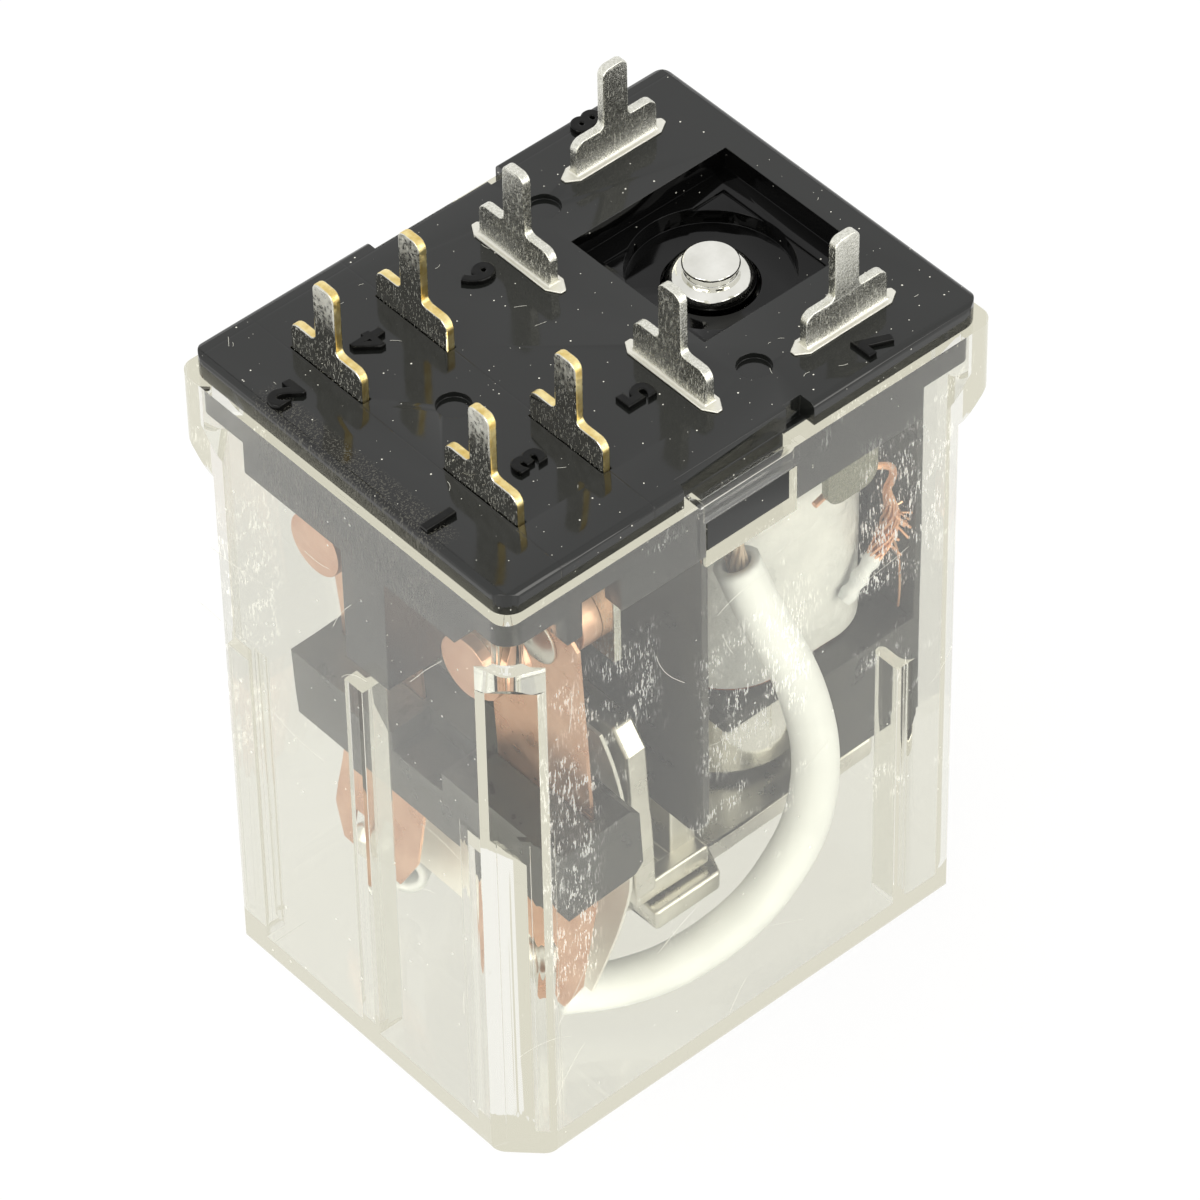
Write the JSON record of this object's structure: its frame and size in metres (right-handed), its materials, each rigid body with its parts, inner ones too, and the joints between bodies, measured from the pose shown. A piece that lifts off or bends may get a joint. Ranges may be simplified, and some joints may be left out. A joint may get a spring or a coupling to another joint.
{
  "type": "pcb relay",
  "caption": "Two pole changeover power relay with a clear cover, black base and flat solder terminals, standing terminals up with its coil and contacts in view",
  "frame": {"origin": "centre of the cover's closed face, which the part stands on", "axes": "+X from the contact end to the coil end, +Z from the closed face to the terminals"},
  "size_m": [0.028, 0.0214, 0.0412],
  "materials": {
    "clear_cover": "clear moulded plastic, glossy",
    "black_base": "satin black moulding",
    "plated_brass": "silver plated faces, bare cut edges",
    "tinned_metal": "tinned",
    "contact_copper": "bright copper",
    "contact_silver": "satin silver",
    "nickel_steel": "nickel plated",
    "spring_steel": "bright sheet",
    "black_moulding": "black moulding",
    "winding": "enamelled copper wire",
    "white_tape": "white tape",
    "spring_copper": "bright copper alloy sheet",
    "solder": "solder",
    "white_sleeve": "white insulating sleeve",
    "bare_wire": "bare stranded copper"
  },
  "bodies": {
    "frame": {"cover": "clear_cover", "base": "black_base", "terminal_1": "plated_brass", "terminal_2": "plated_brass", "terminal_3": "plated_brass", "terminal_4": "plated_brass", "terminal_5": "tinned_metal", "terminal_6": "tinned_metal", "terminal_7": "tinned_metal", "terminal_8": "tinned_metal", "make_contact_near": "contact_copper", "make_contact_far": "contact_copper", "break_contact_near": "contact_copper", "break_contact_far": "contact_copper", "yoke": "nickel_steel", "core": "nickel_steel", "bobbin": "black_moulding", "coil": "winding", "coil_tape": "white_tape", "lead_sleeve_near": "white_sleeve", "lead_sleeve_far": "white_sleeve", "lead_wire_near": "bare_wire", "lead_wire_far": "bare_wire", "coil_lead_near": "bare_wire", "coil_lead_far": "bare_wire"},
    "armature_set": {"armature": "nickel_steel", "return_spring": "spring_steel", "contact_carrier": "black_moulding", "moving_spring_near": "spring_copper", "moving_spring_far": "spring_copper", "moving_contact_near": "contact_silver", "moving_contact_far": "contact_silver", "lead_solder_near": "solder", "lead_solder_far": "solder"}
  },
  "joints": [
    {"name": "armature_hinge", "type": "hinge", "parent": "frame", "child": "armature_set", "pos_m": [-0.001, 0, 0.0069], "axis": [0, -1, 0], "range_deg": [0, 2.5], "stiffness_Nm_per_rad": 0.02, "springref_deg": -8.59}
  ]
}
